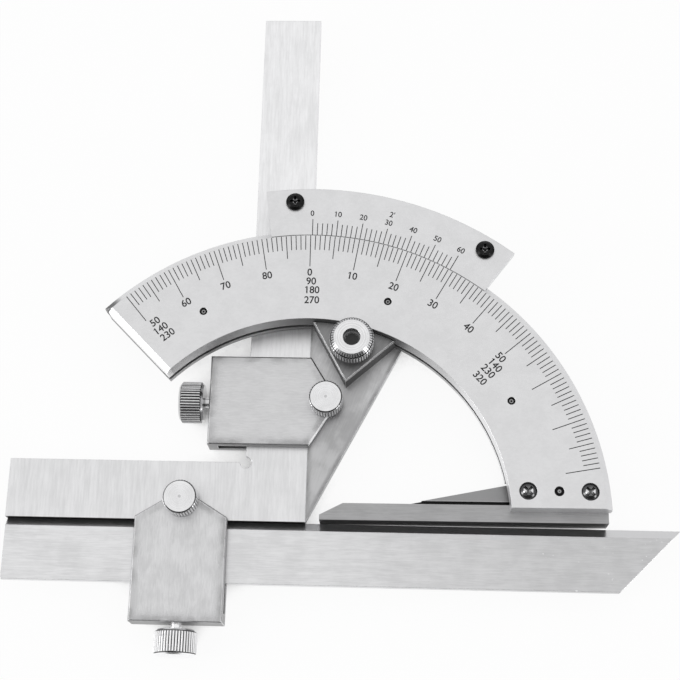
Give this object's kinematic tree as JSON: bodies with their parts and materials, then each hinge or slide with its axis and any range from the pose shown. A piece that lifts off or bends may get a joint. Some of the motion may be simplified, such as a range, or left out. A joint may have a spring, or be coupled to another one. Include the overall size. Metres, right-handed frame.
{
  "type": "bevel protractor",
  "caption": "Universal bevel protractor: degree arc with base rule, swinging vernier sector, clamped square and straightedge, knurled nuts and geared fine adjustment.",
  "frame": {"origin": "the vertex, which the sector swings about, in the back plane of the rules", "axes": "+Z out of the scale's face, +Y towards the scale's zero, +X along the base rule's edge"},
  "size_m": [0.1973, 0.2048, 0.0234],
  "materials": {
    "scale_satin": "satin chrome",
    "rule_steel": "ground",
    "ring_steel": "machined",
    "clamp_steel": "milled",
    "knob_steel": "turned",
    "stud_steel": "turned",
    "black_screws": "black oxide",
    "bush_bronze": "turned bronze"
  },
  "bodies": {
    "main_scale": {"main_scale_plate": "scale_satin", "rack_ring": "ring_steel", "rack_ring_screws": "black_screws", "base_rule": "rule_steel", "base_screws": "stud_steel", "base_dowel": "stud_steel"},
    "sector": {"sector_plate": "rule_steel", "vernier_carrier": "ring_steel", "carrier_screws": "stud_steel", "carrier_dowels": "stud_steel", "vernier_plate": "scale_satin", "vernier_screws": "black_screws", "pinion_bush": "bush_bronze", "lock_stud": "stud_steel", "lock_block": "ring_steel", "lock_collar": "stud_steel", "clamp_block_1": "clamp_steel", "clamp_stud_1": "stud_steel"},
    "pinion": {"pinion": "ring_steel", "adjusting_knob": "knob_steel", "knob_screw": "stud_steel"},
    "lock_nut": {"lock_nut": "knob_steel"},
    "clamp_nut_1": {"clamp_nut_1": "knob_steel"},
    "pad_1": {"pressure_pad_1": "clamp_steel"},
    "side_screw_1": {"side_screw_1": "knob_steel"},
    "square": {"square": "rule_steel", "clamp_block_2": "clamp_steel", "clamp_stud_2": "stud_steel"},
    "clamp_nut_2": {"clamp_nut_2": "knob_steel"},
    "pad_2": {"pressure_pad_2": "clamp_steel"},
    "side_screw_2": {"side_screw_2": "knob_steel"},
    "straightedge": {"straightedge": "rule_steel"}
  },
  "joints": [
    {"name": "sector_swing", "type": "hinge", "parent": "main_scale", "child": "sector", "pos_m": [0, 0, 0], "axis": [0, 0, -1], "range_deg": [-0.3, 49.6]},
    {"name": "pinion_turn", "type": "hinge", "parent": "sector", "child": "pinion", "pos_m": [0.02319, 0.0882, 0], "axis": [0, 0, -1], "range_deg": [-6, 894]},
    {"name": "lock_nut_turn", "type": "hinge", "parent": "sector", "child": "lock_nut", "pos_m": [0.0131, 0.05192, 0.0134], "axis": [0, 0, 1], "range_deg": [0, 360]},
    {"name": "clamp_nut_1_turn", "type": "hinge", "parent": "sector", "child": "clamp_nut_1", "pos_m": [0.00551, 0.03587, 0.0055], "axis": [0, 0, 1], "range_deg": [0, 360]},
    {"name": "pad_1_slide", "type": "slide", "parent": "sector", "child": "pad_1", "axis": [-1, 0.0058, 0], "range_m": [0, 0.0014]},
    {"name": "side_screw_1_turn", "type": "hinge", "parent": "pad_1", "child": "side_screw_1", "pos_m": [-0.02979, 0.03607, 0.00145], "axis": [-1, 0.0058, 0], "range_deg": [0, 720]},
    {"name": "square_slide", "type": "slide", "parent": "sector", "child": "square", "axis": [0.0058, 1, 0], "range_m": [-0.09, 0]},
    {"name": "clamp_nut_2_turn", "type": "hinge", "parent": "square", "child": "clamp_nut_2", "pos_m": [-0.03617, 0.00551, 0.0055], "axis": [0, 0, 1], "range_deg": [0, 360]},
    {"name": "pad_2_slide", "type": "slide", "parent": "square", "child": "pad_2", "axis": [-0.0058, -1, 0], "range_m": [0, 0.0014]},
    {"name": "side_screw_2_turn", "type": "hinge", "parent": "pad_2", "child": "side_screw_2", "pos_m": [-0.03637, -0.02979, 0.00145], "axis": [-0.0058, -1, 0], "range_deg": [0, 720]},
    {"name": "straightedge_slide", "type": "slide", "parent": "square", "child": "straightedge", "axis": [1, -0.0058, 0], "range_m": [-0.06, 0.035]}
  ],
  "couplings": [
    {"joint": "pinion_turn", "follows": "sector_swing", "ratio": 18},
    {"joint": "pad_1_slide", "follows": "side_screw_1_turn", "m_per_rad": 0.00011141},
    {"joint": "pad_2_slide", "follows": "side_screw_2_turn", "m_per_rad": 0.00011141}
  ]
}
